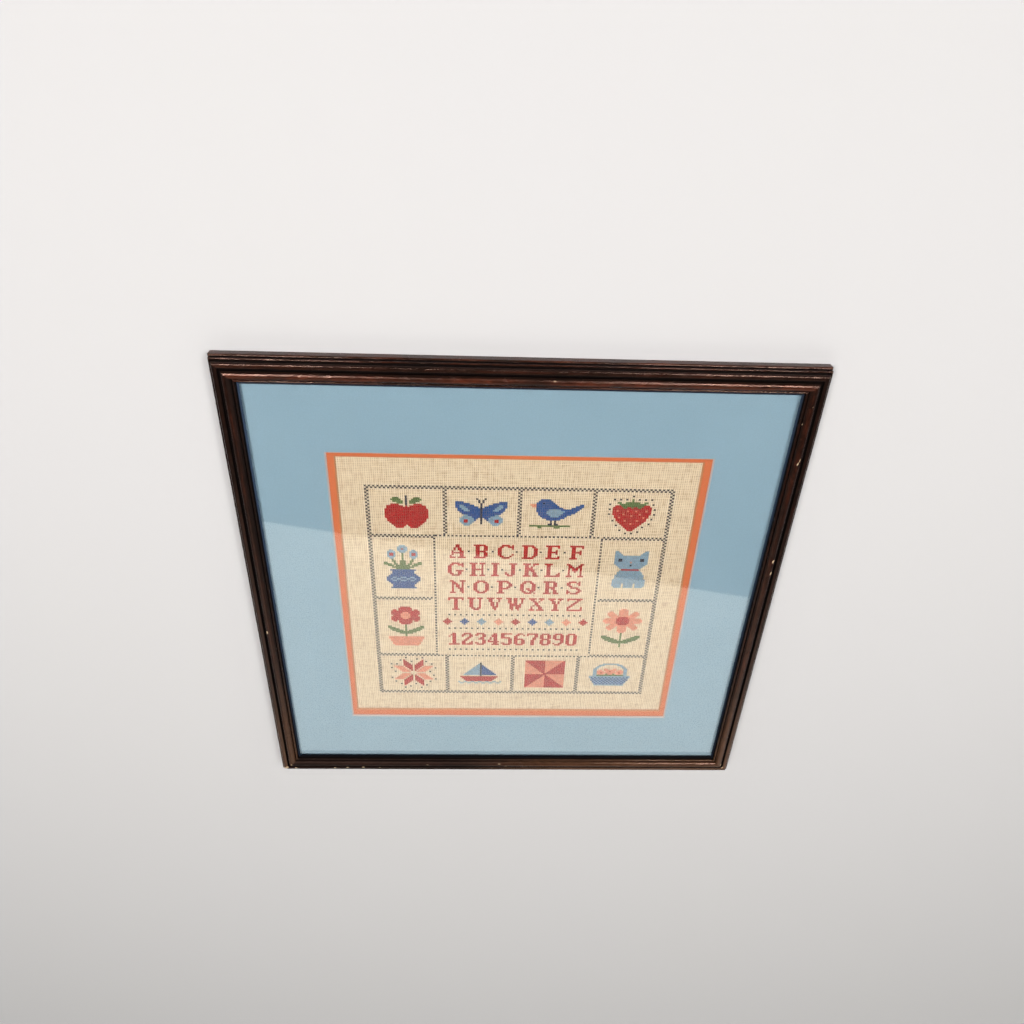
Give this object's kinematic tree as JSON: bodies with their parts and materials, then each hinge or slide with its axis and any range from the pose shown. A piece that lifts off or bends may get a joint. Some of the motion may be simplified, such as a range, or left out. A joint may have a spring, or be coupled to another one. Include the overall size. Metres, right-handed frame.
{
  "type": "cross stitch sampler in a wooden picture frame",
  "caption": "Flat framed textile: a stitched linen panel behind glass in a double mat and a dark stepped wooden moulding.",
  "frame": {"origin": "on the back plane, under the middle of the frame", "axes": "+X to the picture's right, +Y to its top, +Z out of its face"},
  "size_m": [0.504, 0.49, 0.0188],
  "materials": {
    "rail_wood": "dark red-brown stain, satin, worn at the corners",
    "glass": "clear, polished",
    "blue_mat": "matt, lightly textured paper face",
    "orange_mat": "matt paper face",
    "linen": "slubby cream evenweave",
    "backing": "plain brown board",
    "floss_red": "stranded cotton, low sheen",
    "floss_blue": "stranded cotton, low sheen",
    "floss_navy": "stranded cotton, low sheen",
    "floss_sky": "stranded cotton, low sheen",
    "floss_salmon": "stranded cotton, low sheen",
    "floss_green": "stranded cotton, low sheen"
  },
  "bodies": {
    "root": {"rail_top": "rail_wood", "rail_bottom": "rail_wood", "rail_left": "rail_wood", "rail_right": "rail_wood", "glass": "glass", "mat_outer": "blue_mat", "mat_inner": "orange_mat", "cloth": "linen", "backing_board": "backing"}
  },
  "joints": []
}
